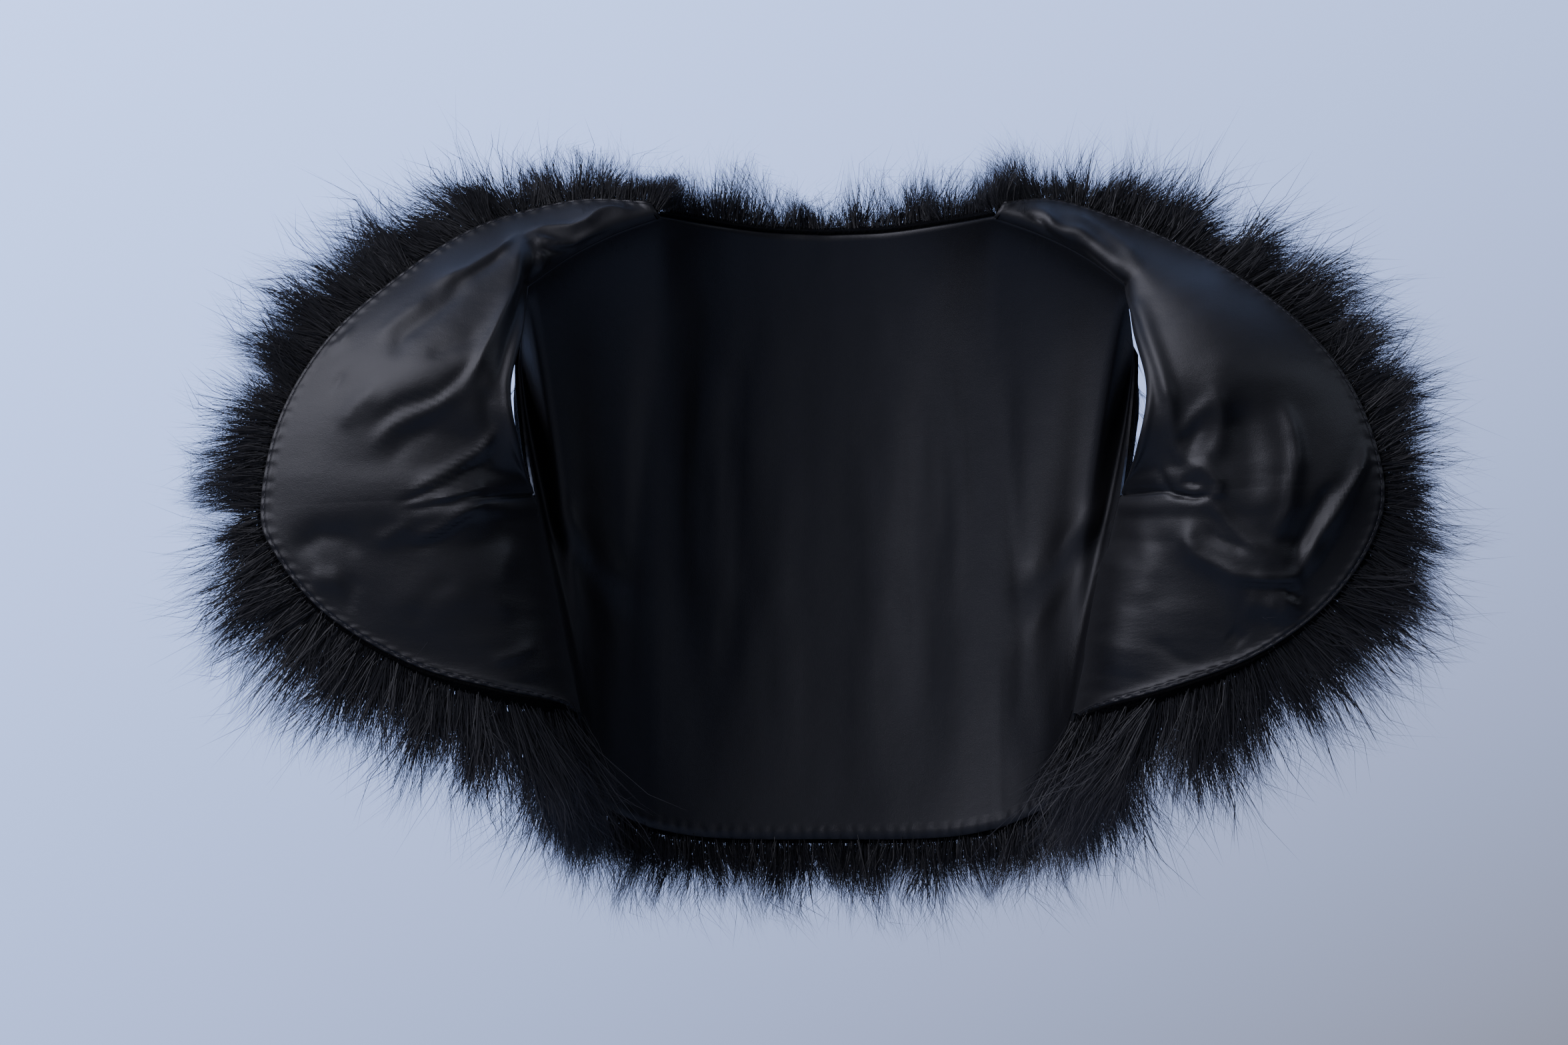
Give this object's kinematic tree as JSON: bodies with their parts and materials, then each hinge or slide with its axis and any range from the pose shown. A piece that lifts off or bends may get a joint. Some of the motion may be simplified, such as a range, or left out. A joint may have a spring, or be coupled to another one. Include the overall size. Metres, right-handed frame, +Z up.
{
  "type": "marabou bolero",
  "caption": "Sleeveless marabou feather bolero with a satin lining, worn open with both fronts turned back over the arms.",
  "frame": {"origin": "midway between the neck ends of the two shoulder seams, level with them, where the wearer's shoulders carry the bolero", "axes": "+Z up, the wearer faces -Y, +X towards the wearer's left; the wearer stands upright"},
  "size_m": [0.6747, 0.1898, 0.4418],
  "materials": {
    "satin": "black satin with a soft directional sheen",
    "marabou": "dyed black marabou down, matte and very fine"
  },
  "bodies": {
    "root": {"lining_back": "satin", "lining_front_right": "satin", "lining_front_left": "satin", "marabou_back": "marabou", "marabou_front_right": "marabou", "marabou_front_left": "marabou", "edging_front_right": "marabou", "edging_front_left": "marabou", "edging_hem": "marabou", "edging_neck": "marabou"}
  },
  "joints": []
}
